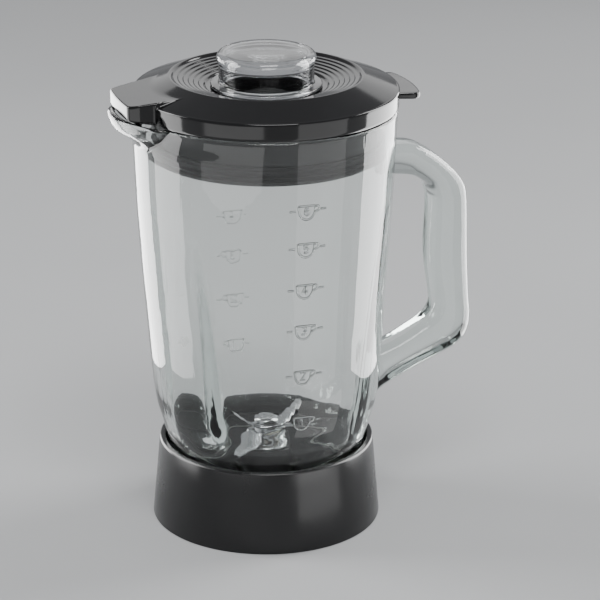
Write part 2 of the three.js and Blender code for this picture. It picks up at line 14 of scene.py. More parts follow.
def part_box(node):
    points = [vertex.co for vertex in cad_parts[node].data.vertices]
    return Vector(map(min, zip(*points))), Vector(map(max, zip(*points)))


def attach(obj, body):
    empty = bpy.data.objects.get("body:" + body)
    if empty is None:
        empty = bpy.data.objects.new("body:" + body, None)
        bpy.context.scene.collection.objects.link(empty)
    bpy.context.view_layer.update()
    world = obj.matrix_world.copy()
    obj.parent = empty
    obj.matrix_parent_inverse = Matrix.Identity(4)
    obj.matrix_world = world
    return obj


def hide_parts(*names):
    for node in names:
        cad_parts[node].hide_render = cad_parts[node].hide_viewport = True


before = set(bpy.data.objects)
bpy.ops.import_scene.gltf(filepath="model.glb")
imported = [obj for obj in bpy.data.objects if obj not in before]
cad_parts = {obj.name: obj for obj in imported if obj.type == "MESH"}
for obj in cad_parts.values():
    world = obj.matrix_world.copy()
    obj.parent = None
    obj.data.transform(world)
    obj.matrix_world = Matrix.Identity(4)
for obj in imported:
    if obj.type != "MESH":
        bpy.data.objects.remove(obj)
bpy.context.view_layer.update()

MM = 0.001
collar_lo, collar_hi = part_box("collar_shell")
AXIS_X = (collar_lo.x + collar_hi.x) / 2
TAU = 2 * math.pi


def span(node):
    """Largest radius about the jug's axis in Y, lowest and highest height of a CAD node, in millimetres."""
    lo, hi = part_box(node)
    return (hi.y - lo.y) / 2 / MM, lo.z / MM, hi.z / MM


# ---------------------------------------------------------------- camera

VIEW_TURN = math.radians(-18.5)
PITCH = math.radians(-20.28)
ROLL = math.radians(-0.28)
SENSOR_WIDTH = 36
FOCAL_LENGTH = 166.75
# In metres from the jug's axis, before the view is turned round it.
CAMERA_PLACE = (0.01809, -1.4, 0.6388)


def make_camera():
    data = bpy.data.cameras.new("photo_camera")
    data.sensor_width = SENSOR_WIDTH
    data.lens = FOCAL_LENGTH
    data.clip_start = 0.05
    data.clip_end = 30
    camera = bpy.data.objects.new("photo_camera", data)
    bpy.context.scene.collection.objects.link(camera)
    turn = Matrix.Rotation(VIEW_TURN, 3, "Z")
    place = turn @ Vector(CAMERA_PLACE)
    forward = turn @ Vector((0, math.cos(PITCH), math.sin(PITCH)))
    right = forward.cross(Vector((0, 0, 1))).normalized()
    up = right.cross(forward)
    across = right * math.cos(ROLL) - up * math.sin(ROLL)
    upright = right * math.sin(ROLL) + up * math.cos(ROLL)
    turned = Matrix((across, upright, -forward)).transposed().to_4x4()
    camera.matrix_world = Matrix.Translation(place + Vector((AXIS_X, 0, 0))) @ turned
    bpy.context.scene.camera = camera


make_camera()


# ---------------------------------------------------------------- materials


class Nodes:
    """A material's node tree with the calls that this file needs."""

    def __init__(self, name):
        self.material = bpy.data.materials.new(name)
        self.material.use_nodes = True
        self.tree = self.material.node_tree
        self.shader = self.tree.nodes["Principled BSDF"]
        self.place = self.add("ShaderNodeTexCoord").outputs["Object"]

    def add(self, kind, **values):
        node = self.tree.nodes.new(kind)
        for key, value in values.items():
            setattr(node, key, value)
        return node

    def link(self, source, target):
        self.tree.links.new(source, target)

    def set(self, **values):
        for key, value in values.items():
            self.shader.inputs[key.replace("_", " ")].default_value = value

    def noise(self, scale, detail=3.0, rough=0.55, stretch=(1, 1, 1), distortion=0.0):
        mapping = self.add("ShaderNodeMapping")
        mapping.inputs["Scale"].default_value = stretch
        self.link(self.place, mapping.inputs["Vector"])
        node = self.add("ShaderNodeTexNoise")
        node.inputs["Scale"].default_value = scale
        node.inputs["Detail"].default_value = detail
        node.inputs["Roughness"].default_value = rough
        node.inputs["Distortion"].default_value = distortion
        self.link(mapping.outputs["Vector"], node.inputs["Vector"])
        return node.outputs["Fac"]

    def spread(self, source, low, high, start=0.3, end=0.7):
        node = self.add("ShaderNodeMapRange")
        for key, value in (("From Min", start), ("From Max", end), ("To Min", low), ("To Max", high)):
            node.inputs[key].default_value = value
        self.link(source, node.inputs["Value"])
        return node.outputs["Result"]

    def ramp(self, source, stops):
        node = self.add("ShaderNodeValToRGB")
        elements = node.color_ramp.elements
        while len(elements) < len(stops):
            elements.new(0.5)
        for element, (position, color) in zip(elements, stops):
            element.position = position
            element.color = (*color, 1)
        self.link(source, node.inputs["Fac"])
        return node.outputs["Color"]

    def bump(self, source, distance, strength=1.0, after=None):
        node = self.add("ShaderNodeBump")
        node.inputs["Distance"].default_value = distance
        node.inputs["Strength"].default_value = strength
        self.link(source, node.inputs["Height"])
        if after is not None:
            self.link(after, node.inputs["Normal"])
        return node.outputs["Normal"]

    def done(self, color=None, rough=None, normal=None):
        for source, key in ((color, "Base Color"), (rough, "Roughness"), (normal, "Normal")):
            if source is not None:
                self.link(source, self.shader.inputs[key])
        return self.material


def mixed(color, amount):
    """The colour made darker or lighter."""
    return tuple(max(0.0, min(1.0, c * amount)) for c in color)


def moulded(name, color, low, high, grain, depth, ior=1.5):
    """Moulded plastic or rubber: faint mottling, uneven gloss, the mould's grain and faint flow waves."""
    n = Nodes(name)
    cloud = n.noise(55, 4, 0.6)
    tint = n.ramp(cloud, [(0.3, mixed(color, 0.82)), (0.55, color), (0.75, mixed(color, 1.3))])
    smudge = n.noise(38, 5, 0.62, (1, 1, 0.6), 0.6)
    rough = n.spread(smudge, low, high, 0.35, 0.68)
    wave = n.bump(n.noise(11, 1, 0.3), 0.0002, 0.25)
    fine = n.bump(n.noise(grain, 3, 0.6), depth, 0.5, wave)
    n.set(IOR=ior)
    return n.done(tint, rough, fine)


def clear(name, color, low, high, wave, absorb, density):
    """Clear glass or plastic: pressing waves, upright streaks, faint haze and its own tint in depth."""
    n = Nodes(name)
    haze = n.noise(30, 4, 0.6, (1, 1, 0.5), 0.4)
    rough = n.spread(haze, low, high, 0.42, 0.72)
    tint = n.ramp(n.noise(14, 2, 0.5), [(0.3, mixed(color, 0.985)), (0.7, color)])
    long_waves = n.bump(n.noise(20, 1.5, 0.4, (1, 1, 0.45), 0.3), wave, 0.6)
    streaks = n.bump(n.noise(75, 3, 0.6, (1, 1, 0.08), 0.2), wave * 0.7, 0.65, long_waves)
    short_waves = n.bump(n.noise(90, 2, 0.5), wave * 0.12, 0.5, streaks)
    n.set(Transmission_Weight=1.0, IOR=1.5, Specular_IOR_Level=0.5)
    depth = n.add("ShaderNodeVolumeAbsorption")
    depth.inputs["Color"].default_value = (*absorb, 1)
    depth.inputs["Density"].default_value = density
    n.link(depth.outputs["Volume"], n.tree.nodes["Material Output"].inputs["Volume"])
    return n.done(tint, rough, short_waves)


def metal(name, color, low, high, stretch, scale, depth):
    """Metal with drawn or ground marks along one direction, and darker and lighter patches."""
    n = Nodes(name)
    marks = n.noise(scale, 4, 0.7, stretch)
    patch = n.noise(60, 3, 0.6)
    tint = n.ramp(patch, [(0.25, mixed(color, 0.8)), (0.55, color), (0.8, mixed(color, 1.1))])
    rough = n.spread(marks, low, high)
    scratch = n.bump(marks, depth, 0.6)
    n.set(Metallic=1.0)
    return n.done(tint, rough, scratch)


GLASS = clear("jug_glass", (0.975, 0.985, 0.98), 0.0, 0.03, 0.0005, (0.74, 0.86, 0.82), 20.0)
MARKS = clear("jug_marks", (0.97, 0.98, 0.975), 0.18, 0.3, 0.0001, (0.74, 0.86, 0.82), 20.0)
CLEAR = clear("cap_clear_plastic", (0.97, 0.98, 0.985), 0.0, 0.06, 0.0002, (0.86, 0.91, 0.93), 12.0)
GLOSS = moulded("lid_gloss_black", (0.004, 0.004, 0.0045), 0.07, 0.15, 2600, 0.000003)
SATIN = moulded("collar_satin_black", (0.005, 0.005, 0.0055), 0.2, 0.28, 1900, 0.000006)
INNER = moulded("carrier_black", (0.014, 0.014, 0.015), 0.3, 0.48, 1500, 0.000014)
RUBBER = moulded("black_rubber", (0.016, 0.016, 0.016), 0.5, 0.72, 1200, 0.00003, ior=1.45)
SILICONE = moulded("grey_silicone", (0.52, 0.52, 0.50), 0.5, 0.7, 1300, 0.00002, ior=1.42)
NYLON = moulded("natural_nylon", (0.72, 0.69, 0.62), 0.4, 0.6, 1500, 0.00001)
STEEL = metal("stainless_turned", (0.66, 0.67, 0.68), 0.16, 0.34, (1, 1, 30), 120, 0.000006)
GROUND = metal("stainless_ground", (0.68, 0.69, 0.70), 0.1, 0.3, (25, 1, 1), 90, 0.00001)
ZINC = metal("zinc_plate", (0.52, 0.54, 0.56), 0.3, 0.5, (1, 1, 2), 300, 0.00001)
BRONZE = metal("sintered_bronze", (0.46, 0.32, 0.17), 0.4, 0.62, (1, 1, 1), 1600, 0.00003)


# ---------------------------------------------------------------- mesh helpers


def piece(name, verts, faces, material, body, slot, nodes=(), sharp=38):
    """Object from points in millimetres about the jug's axis, tied to its body and CAD nodes. slot is not
    used.
    """
    points = np.asarray(verts, float) * MM
    points[:, 0] += AXIS_X
    mesh = bpy.data.meshes.new(name)
    mesh.from_pydata(points.tolist(), [], faces)
    mesh.update()
    obj = bpy.data.objects.new(name, mesh)
    bpy.context.scene.collection.objects.link(obj)
    dress(obj, material, sharp)
    if body:
        bind(obj, body, nodes)
    return obj


def dress(obj, material, sharp=38):
    """Outward faces, smooth shading with sharp edges kept, and one material."""
    bm = bmesh.new()
    bm.from_mesh(obj.data)
    bmesh.ops.recalc_face_normals(bm, faces=bm.faces[:])
    bm.to_mesh(obj.data)
    bm.free()
    obj.data.shade_smooth()
    obj.data.set_sharp_from_angle(angle=math.radians(sharp))
    obj.data.materials.clear()
    obj.data.materials.append(material)


def bind(obj, body, nodes=()):
    """Ties an object to its body, in place of the named CAD nodes."""
    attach(obj, body)
    if nodes:
        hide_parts(*nodes)


def settle(obj):
    """Applies an object's modifiers to its mesh."""
    graph = bpy.context.evaluated_depsgraph_get()
    graph.update()
    made = bpy.data.meshes.new_from_object(obj.evaluated_get(graph))
    obj.modifiers.clear()
    obj.data = made


def combine(obj, others, operation):
    """Joins others to obj, cuts them away from it or keeps what they share."""
    for other in others:
        change = obj.modifiers.new("combine", "BOOLEAN")
        change.operation = operation
        change.solver = "MANIFOLD"
        change.object = other
        settle(obj)
        bpy.data.objects.remove(other)
    return obj


def fillet(profile, steps=4):
    """Rounds the corners of a profile. Each point is (radius, height) or (radius, height, corner radius)."""
    count = len(profile)
    made = []
    for i, point in enumerate(profile):
        corner = np.array(point[:2], float)
        size = point[2] if len(point) > 2 else 0.0
        if size <= 0:
            made.append(tuple(corner))
            continue
        before = np.array(profile[i - 1][:2], float) - corner
        after = np.array(profile[(i + 1) % count][:2], float) - corner
        lb, la = np.linalg.norm(before), np.linalg.norm(after)
        reach = min(size, 0.49 * lb, 0.49 * la)
        start, end = corner + before / lb * reach, corner + after / la * reach
        for k in range(steps + 1):
            t = k / steps
            made.append(tuple((1 - t) ** 2 * start + 2 * t * (1 - t) * corner + t * t * end))
    return made


def grid_faces(rows, columns, close_rows):
    """Quads of a tube of rings. Each of the rows holds one ring of the columns."""
    faces = []
    last = rows if close_rows else rows - 1
    for j in range(last):
        a, b = j * columns, ((j + 1) % rows) * columns
        for i in range(columns):
            k = (i + 1) % columns
            faces.append((a + i, a + k, b + k, b + i))
    return faces


def shell(profile, segments=160, outline=None):
    """Points and faces of a profile turned round the axis. outline gives an extra radius for an angle,
    for flats. A profile that starts or ends on the axis is closed there by one point."""
    open_ends = profile[0][0] < 1e-6 or profile[-1][0] < 1e-6
    ring = [p for p in profile if p[0] >= 1e-6]
    angles = np.arange(segments) * TAU / segments
    extra = np.zeros(segments) if outline is None else np.array([outline(a) for a in angles])
    around = list(zip(angles, extra))
    verts = [((r + e) * math.cos(a), (r + e) * math.sin(a), z) for r, z in ring for a, e in around]
    faces = grid_faces(len(ring), segments, not open_ends)
    if open_ends:
        for point, row in ((profile[0], 0), (profile[-1], len(ring) - 1)):
            start = row * segments
            if point[0] < 1e-6:
                verts.append((0, 0, point[1]))
                faces += [(start + (i + 1) % segments, start + i, len(verts) - 1) for i in range(segments)]
            else:
                faces.append([start + i for i in range(segments)])
    return verts, faces


def lathe(name, profile, material, body, slot, nodes=(), segments=160, steps=4):
    """Profile with rounded corners, turned round the axis."""
    verts, faces = shell(fillet(profile, steps), segments)
    return piece(name, verts, faces, material, body, slot, nodes)


def loft(rings):
    """Points and faces of a solid through closed rings of the same count, flat at both ends."""
    rings = np.asarray(rings, float)
    rows, columns = rings.shape[:2]
    faces = grid_faces(rows, columns, False)
    faces.append(list(range(columns)))
    faces.append(list(range((rows - 1) * columns, rows * columns)))
    return rings.reshape(-1, 3).tolist(), faces


def smooth(value, start, end):
    """Goes from 0 at start to 1 at end with level ends."""
    t = np.clip((np.asarray(value, float) - start) / (end - start), 0, 1)
    return t * t * (3 - 2 * t)


def curve_through(points, count):
    """Smooth line through points, evenly sampled by their index."""
    p = np.array(points, float)
    p = np.vstack([2 * p[0] - p[1], p, 2 * p[-1] - p[-2]])
    made = []
    for s in np.linspace(0, len(points) - 1, count):
        i = min(int(s), len(points) - 2)
        t = s - i
        a, b, c, d = p[i : i + 4]
        made.append(
            0.5 * (2 * b + (c - a) * t + (2 * a - 5 * b + 4 * c - d) * t * t + (3 * b - a - 3 * c + d) * t**3)
        )
    return np.array(made)


def about(verts, degrees):
    """Points turned round the axis."""
    c, s = math.cos(math.radians(degrees)), math.sin(math.radians(degrees))
    return [(x * c - y * s, x * s + y * c, z) for x, y, z in verts]


# ---------------------------------------------------------------- collar

SCREW_ANGLES = [45, 135, 225, 315]
SCREW_CIRCLE = 53
SCREW_R, SCREW_HEAD_R = 1.6, 3.4
WEB_SCREW_BORE_R = 1.9
SCREW_BORE_R = 2.0
SCREW_HEAD_BORE_R = 3.9
COLLAR_MOUTH_R = 54.9
COLLAR_LIP = 2.2
COLLAR_WALL = 2.3
PILLAR_HALF_WIDTH = 5
PILLAR_END_R = 59.6
PILLAR_BASE, PILLAR_TOP = 1.6, 13.2
CENTRE_BORE_R = 24
LEDGE_R, LEDGE_ROOT_R = 52.9, 55.6
LEDGE_BASE = 31.4
LEDGE_REACH = 20


def box_at(x0, x1, half, z0, z1, degrees, bevel=0.0):
    """Rounded block from x0 to x1, turned round the axis."""
    base = [(x0, -half), (x1, -half), (x1, half), (x0, half)]
    verts = [(x, y, z0) for x, y in base] + [(x, y, z1) for x, y in base]
    faces = [(0, 1, 2, 3), (4, 5, 6, 7), (0, 1, 5, 4), (1, 2, 6, 5), (2, 3, 7, 6), (3, 0, 4, 7)]
    obj = piece("block", about(verts, degrees), faces, SATIN, None, None)
    if bevel:
        edge = obj.modifiers.new("edge", "BEVEL")
        edge.width = bevel * MM
        edge.segments = 3
        settle(obj)
    return obj


def rod_at(radius, z0, z1, distance, degrees, segments=40):
    verts, faces = shell([(0, z0), (radius, z0), (radius, z1), (0, z1)], segments)
    moved = about([(x + distance, y, z) for x, y, z in verts], degrees)
    return piece("rod", moved, faces, SATIN, None, None)


def make_collar():
    foot, base, top = span("collar_shell")
    top_r = foot - 4.0
    lip = top - COLLAR_LIP
    profile = [
        (foot - COLLAR_WALL, base, 0.4),
        (foot, base, 0.7),
        (foot - 0.9, base + 10),
        (foot - 2.0, base + 22),
        (foot - 3.1, base + 34),
        (top_r, top, 1.3),
        (COLLAR_MOUTH_R, top, 0.6),
        (COLLAR_MOUTH_R, lip, 0.4),
        (top_r - 2.1, lip, 1.2),
        (foot - 2.0 - COLLAR_WALL, base + 22),
    ]
    collar = lathe("collar", profile, SATIN, None, None, segments=240)
    pillar = (SCREW_CIRCLE - 6, PILLAR_END_R, PILLAR_HALF_WIDTH, PILLAR_BASE, PILLAR_TOP)
    combine(collar, [box_at(*pillar, a, 0.7) for a in SCREW_ANGLES], "UNION")
    holes = [rod_at(SCREW_BORE_R, 0, 16, SCREW_CIRCLE, a) for a in SCREW_ANGLES]
    holes += [rod_at(SCREW_HEAD_BORE_R, 0, 6, SCREW_CIRCLE, a) for a in SCREW_ANGLES]
    combine(collar, holes, "DIFFERENCE")
    dress(collar, SATIN)
    bind(collar, "base", ["collar_shell"])

    outer, base, top = span("collar_web")
    web = lathe(
        "collar_web_plate",
        [(CENTRE_BORE_R, base, 0.5), (outer, base, 0.5), (outer, top, 0.5), (CENTRE_BORE_R, top, 0.5)],
        INNER, None, None, segments=200,
    )
    combine(web, [rod_at(WEB_SCREW_BORE_R, 13, 16.6, SCREW_CIRCLE, a) for a in SCREW_ANGLES], "DIFFERENCE")
    dress(web, INNER)
    bind(web, "base", ["collar_web"])

    outer, base, top = span("neck_sleeve")
    sleeve = lathe(
        "neck_sleeve_ring",
        [(outer - 1.4, base), (outer, base, 0.3), (outer, top, 0.4), (outer - 1.4, top, 0.3)],
        INNER, None, None, segments=200,
    )
    ledges = []
    for angle in SCREW_ANGLES:
        turn = np.radians(np.linspace(angle - LEDGE_REACH, angle + LEDGE_REACH, 24))
        section = [(LEDGE_R, LEDGE_BASE), (LEDGE_ROOT_R, LEDGE_BASE), (LEDGE_ROOT_R, top), (LEDGE_R, top)]
        rings = [[(r * math.cos(t), r * math.sin(t), z) for r, z in section] for t in turn]
        ledges.append(piece("ledge", *loft(rings), INNER, None, None))
    combine(sleeve, ledges, "UNION")
    dress(sleeve, INNER)
    bind(sleeve, "base", ["neck_sleeve"])

    outer, base, top = span("drive_guard")
    lathe(
        "drive_guard_ring",
        [(CENTRE_BORE_R, base, 0.6), (outer, base, 0.6), (outer, top), (CENTRE_BORE_R, top)],
        INNER, "base", "satin_black", ["drive_guard"],
    )
    for i, angle in enumerate(SCREW_ANGLES):
        node = f"collar_screw_{i + 1}"
        _, base, top = span(node)
        profile = [
            (0, base), (SCREW_HEAD_R - 0.5, base, 0.8), (SCREW_HEAD_R, base + 1.2, 0.5),
            (SCREW_HEAD_R, base + 2.3, 0.2), (SCREW_R, base + 2.3), (SCREW_R, top, 0.5), (0, top),
        ]
        verts, faces = shell(fillet(profile), 40)
        moved = about([(x + SCREW_CIRCLE, y, z) for x, y, z in verts], angle)
        screw = piece(f"screw_{i + 1}", moved, faces, ZINC, None, None)
        slots = []
        for turn in (0, 90):
            bar = [(-2.1, -0.35), (2.1, -0.35), (2.1, 0.35), (-2.1, 0.35)]
            bar = [(x, y, 0) for x, y in bar]
            ring = about(bar, turn)
            verts = [(x + SCREW_CIRCLE, y, base - 0.5) for x, y, _ in ring]
            verts += [(x * 0.5 + SCREW_CIRCLE, y * 0.5, base + 1.3) for x, y, _ in ring]
            faces = [(0, 1, 2, 3), (4, 5, 6, 7), (0, 1, 5, 4), (1, 2, 6, 5), (2, 3, 7, 6), (3, 0, 4, 7)]
            slots.append(piece("slot", about(verts, angle), faces, ZINC, None, None))
        combine(screw, slots, "DIFFERENCE")
        dress(screw, ZINC)
        bind(screw, "base", [node])


make_collar()


# ---------------------------------------------------------------- blade unit

SHAFT_BORE_R = 4.3
HOUSING_BORE_R = 9.3
HOUSING_NUT_FLATS = 24
BLADE_NUT_FLATS = 12
INSERT_FLATS = 13
INSERT_POCKET_FLATS = 13.6
NUT_SHARP = 25
GASKET_BORE_R = 47.8
COUPLING_R = 15
LOBES = 6
LOBE_DEPTH = 1.8
BLADE_THICK = 1.5
BLADE_HUB = 7.5
BLADE_TIP = 4
BLADE_GRIND = 2.4


def hexagon(name, across, base, top, material):
    """Solid hexagon of that width across its flats."""
    radius = across / 2

    def corner(angle):
        return radius / math.cos((angle % (TAU / 6)) - TAU / 12) - radius

    profile = [(0, base), (radius, base), (radius, top), (0, top)]
    return piece(name, *shell(profile, 96, corner), material, None, None)


def make_carrier():
    outer, base, top = span("blade_carrier")
    profile = [
        (HOUSING_BORE_R, base), (12, base, 0.3), (12, base + 4), (43, base + 4, 0.6), (44, base, 0.3),
        (outer, base, 0.4), (outer, base + 3.2, 0.5), (46.6, base + 3.2, 0.3), (46.2, base + 7, 0.9),
        (43.6, base + 7, 0.3), (43.0, base + 6.5, 0.3), (41.8, base + 6.5, 0.3), (41.2, base + 7, 0.3),
        (21, base + 7, 3.0), (16, base + 9.4, 3.0), (13.2, top - 0.6, 0.5), (12.6, top, 0.3),
        (HOUSING_BORE_R, top, 0.3),
    ]
    carrier = lathe("blade_carrier_moulding", profile, INNER, None, None, segments=200)
    ribs = [box_at(12.5, 21, 0.9, base + 6, base + 12.5, a, 0.5) for a in range(0, 360, 60)]
    # The ribs' tops slope down from the boss to the floor.
    for rib in ribs:
        for v in rib.data.vertices:
            local = v.co / MM
            radius = math.hypot(local.x - AXIS_X / MM, local.y)
            if local.z > base + 9:
                v.co.z = (base + 12.3 - 0.62 * (radius - 12.5)) * MM
    combine(carrier, ribs, "UNION")
    dress(carrier, INNER)
    bind(carrier, "base", ["blade_carrier"])

    outer, base, top = span("jug_gasket")
    lathe(
        "jug_gasket_ring",
        [(GASKET_BORE_R, base, 0.9), (outer, base, 0.9), (outer, top, 0.9), (GASKET_BORE_R, top, 0.9)],
        SILICONE, "base", "grey_silicone", ["jug_gasket"], steps=5,
    )


def sleeve_profile(node, corner):
    """Profile of a ring on the shaft that fills its CAD node, with rounded corners."""
    outer, base, top = span(node)
    corners = [(SHAFT_BORE_R, base), (outer, base), (outer, top), (SHAFT_BORE_R, top)]
    return [(r, z, corner) for r, z in corners]


def make_bearing():
    _, base, top = span("bearing_housing")
    lathe(
        "bearing_housing_turned",
        [
            (6, base, 0.3), (9, base, 0.5), (9, top - 2.0), (12, top - 2.0, 0.2), (12, top - 0.8, 0.4),
            (11, top, 0.3), (8.6, top, 0.2), (8.4, top - 0.4), (7.6, top - 0.4), (7.4, top, 0.2),
            (6, top, 0.3),
        ],
        STEEL, "base", "stainless", ["bearing_housing"], segments=96,
    )
    _, base, top = span("housing_nut")
    nut = hexagon("housing_nut_hex", HOUSING_NUT_FLATS, base, top, ZINC)
    dome = [(0, base), (12.6, base), (13.9, base + 0.9), (13.9, top - 0.9), (12.6, top), (0, top)]
    combine(nut, [piece("dome", *shell(dome, 96), ZINC, None, None)], "INTERSECT")
    combine(nut, [rod_at(HOUSING_BORE_R, base - 1, top + 1, 0, 0, 64)], "DIFFERENCE")
    dress(nut, ZINC, NUT_SHARP)
    bind(nut, "base", ["housing_nut"])
    for node, name, material, slot in (
        ("lower_bush", "lower_bush_ring", BRONZE, "bronze"),
        ("upper_bush", "upper_bush_ring", BRONZE, "bronze"),
        ("shaft_seal", "shaft_seal_ring", RUBBER, "black_rubber"),
    ):
        lathe(name, sleeve_profile(node, 0.3), material, "base", slot, [node], segments=64)


def make_rotor():
    radius, base, top = span("blade_shaft")
    lathe(
        "blade_shaft_turned",
        [
            (0, base), (radius, base, 0.5), (radius, base + 5.8), (radius - 0.8, base + 5.8),
            (radius - 0.8, base + 6.9), (radius, base + 6.9), (radius, top, 0.6), (0, top),
        ],
        STEEL, "rotor", "stainless", ["blade_shaft"], segments=64,
    )
    for node, name in (
        ("lower_thrust_washer", "lower_washer_ring"),
        ("upper_thrust_washer", "upper_washer_ring"),
    ):
        lathe(name, sleeve_profile(node, 0.2), NYLON, "rotor", "nylon", [node], segments=64)
    outer, base, top = span("blade_spacer")
    lathe(
        "blade_spacer_ring",
        [(SHAFT_BORE_R, base), (outer, base, 0.3), (outer, top, 0.3), (SHAFT_BORE_R, top)],
        STEEL, "rotor", "stainless", ["blade_spacer"], segments=64,
    )
    _, base, top = span("blade_nut")
    nut = hexagon("blade_nut_hex", BLADE_NUT_FLATS, base, top, STEEL)
    dome = fillet([
        (0, base), (6.3, base, 0.4), (6.95, base + 0.7), (6.95, base + 3.4, 0.8), (5.7, base + 4.9, 1.2),
        (3.6, top - 0.2, 1.0), (0, top),
    ])
    combine(nut, [piece("dome", *shell(dome, 96), STEEL, None, None)], "INTERSECT")
    dress(nut, STEEL, NUT_SHARP)
    bind(nut, "rotor", ["blade_nut"])

    _, base, top = span("drive_coupling")
    coupling = lathe(
        "drive_coupling_lobes",
        [(0, base), (COUPLING_R, base, 1.4), (COUPLING_R, top, 0.8), (0, top)],
        RUBBER, None, None, segments=192,
    )
    for v in coupling.data.vertices:
        x, y = v.co.x / MM - AXIS_X / MM, v.co.y / MM
        r = math.hypot(x, y)
        if r > 1e-6:
            grown = r + LOBE_DEPTH * math.cos(LOBES * math.atan2(y, x)) * min(1.0, r / (COUPLING_R - 2))
            v.co.x, v.co.y = (x * grown / r) * MM + AXIS_X, y * grown / r * MM
    socket = hexagon("socket", INSERT_POCKET_FLATS, base - 1, top + 1, RUBBER)
    combine(coupling, [socket], "DIFFERENCE")
    dress(coupling, RUBBER)
    bind(coupling, "rotor", ["drive_coupling"])
    _, base, top = span("coupling_insert")
    insert = hexagon("coupling_insert_hex", INSERT_FLATS, base, top, ZINC)
    combine(insert, [rod_at(SHAFT_BORE_R, base - 1, top + 1, 0, 0, 64)], "DIFFERENCE")
    dress(insert, ZINC, NUT_SHARP)
    bind(insert, "rotor", ["coupling_insert"])


def make_blade(name, node, reach, rise, turn):
    """Pressed blade with two bent wings. Both long edges of each wing are ground to a cutting edge."""
    _, low_face, high_face = span(node)
    base = high_face - BLADE_THICK if rise < 0 else low_face
    thick, hub, tip = BLADE_THICK, BLADE_HUB, BLADE_TIP
    rings = []
    for s in np.linspace(-reach, reach, 121):
        d = abs(s)
        trailing = hub - (hub - tip) * d / (reach + 1)
        leading = hub - (hub - tip) * d / (reach - 4) if d < reach - 4 else tip * (reach + 1 - d) / 5
        low, high = (-leading, trailing) if s >= 0 else (-trailing, leading)
        slope = np.clip((d - hub - thick) / (reach - hub - thick), 0, 1)
        bend = thick * float(smooth(d, hub - thick, hub + thick)) * rise / (reach - hub)
        height = base + rise * slope * (1 - thick / (reach - hub)) + bend
        grind = min(BLADE_GRIND, 0.42 * (high - low)) * float(smooth(d, hub + 1, hub + 4)) + 0.25
        low_edge, high_edge = (0.3, 0.8) if s >= 0 else (0.8, 0.3)
        mid = height + thick * 0.5
        edge = 0.08 if d > hub + 3 else 0.45
        ring = [
            (s, low, mid - edge), (s, low + grind * low_edge, height), (s, high - grind * high_edge, height),
            (s, high, mid - edge), (s, high, mid + edge), (s, high - grind, height + thick),
            (s, low + grind, height + thick), (s, low, mid + edge),
        ]
        rings.append(about(ring, turn))
    piece(name, *loft(rings), GROUND, "rotor", "stainless", [node], sharp=14)


make_carrier()
make_bearing()
make_rotor()
make_blade("lower_blade_pressed", "lower_blade", 25, -5, 28)
make_blade("upper_blade_pressed", "upper_blade", 20, 12, 4)
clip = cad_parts["retaining_clip"]
clip.data.materials.clear()
clip.data.materials.append(STEEL)


# ---------------------------------------------------------------- glass jug

jug_lo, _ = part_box("glass_jug")
NECK_BASE = jug_lo.z / MM
RIM = NECK_BASE + 206.4
SPOUT_REACH = AXIS_X / MM - jug_lo.x / MM
SPOUT_BASE = 211
SPOUT_HALF_ANGLE = 26.5
# The rim and the lid's edge climb towards the spout's tip from this distance on.
SPOUT_RISE = 0.15
RISE_START = 66
RIM_R = 69
RIM_MIDDLE_R = 66.6
RIM_ROUND_R, RIM_ROUND_RISE = 2.4, 1.8
RIB_TOP = 180
RIB_LENGTH = 110
RIB_DEPTH = 6.4
RIB_ANGLE = 56
LUG_R = 54.4
LUG_BASE, LUG_TOP = 26, 31
LUG_HALF_ANGLE = 12
HANDLE_HALF_WIDTH = 11.5
# The handle's section is between an ellipse, 1, and a box, 0. It widens by this share at both roots.
HANDLE_ROUND = 0.62
HANDLE_FLARE = 0.16
OUTER_WALL = [
    (52, 24.6), (52, 36), (52, 40), (53.4, 44), (55, 50), (57.3, 58.5), (59.6, 67), (61.2, 80),
    (63.6, 125), (67.1, 182), (68.4, 212), (68.7, 220.5), (69, 228.6),
]
INNER_WALL = [
    (47.5, 24.6), (47.5, 38), (47.5, 44), (49.2, 50), (51.6, 58.5), (55.8, 75), (57.3, 96),
    (58.8, 125), (60.6, 152), (62.4, 182), (63.6, 212), (63.9, 220.5), (64.2, 228.6),
]


def monotone(points):
    """Smooth radius for a height, with no overshoot between the points."""
    r = np.array([p[0] for p in points], float)
    z = np.array([p[1] for p in points], float)
    step = np.diff(z)
    slope = np.diff(r) / step
    tangent = np.zeros(len(r))
    tangent[0], tangent[-1] = slope[0], slope[-1]
    for i in range(1, len(r) - 1):
        a, b = slope[i - 1], slope[i]
        tangent[i] = 0 if a * b <= 0 else 2 * a * b / (a + b)

    def radius(height):
        i = int(np.clip(np.searchsorted(z, height) - 1, 0, len(step) - 1))
        t = (height - z[i]) / step[i]
        h = step[i]
        return (
            (2 * t**3 - 3 * t**2 + 1) * r[i] + (t**3 - 2 * t**2 + t) * h * tangent[i]
            + (3 * t**2 - 2 * t**3) * r[i + 1] + (t**3 - t**2) * h * tangent[i + 1]
        )

    return radius


outer_radius = monotone(OUTER_WALL)
inner_radius = monotone(INNER_WALL)


def spout_shift(z, angle):
    """Outward shift of the wall. angle is in degrees from the spout's direction."""
    fullness = 2.2 * float(smooth(z, 60, 150)) * (1 - float(smooth(z, 214, 229)))
    side = np.maximum(0, np.cos(np.radians(angle))) ** 2
    height = max(0.0, (z - SPOUT_BASE) / (RIM - SPOUT_BASE))
    width = SPOUT_HALF_ANGLE * math.sqrt(height) + 1e-6
    across = np.maximum(0, 1 - (np.abs(angle) / width) ** 2.6)
    reach = SPOUT_REACH - RIM_R
    return fullness * side + reach * float(smooth(z, 214, 229)) * across


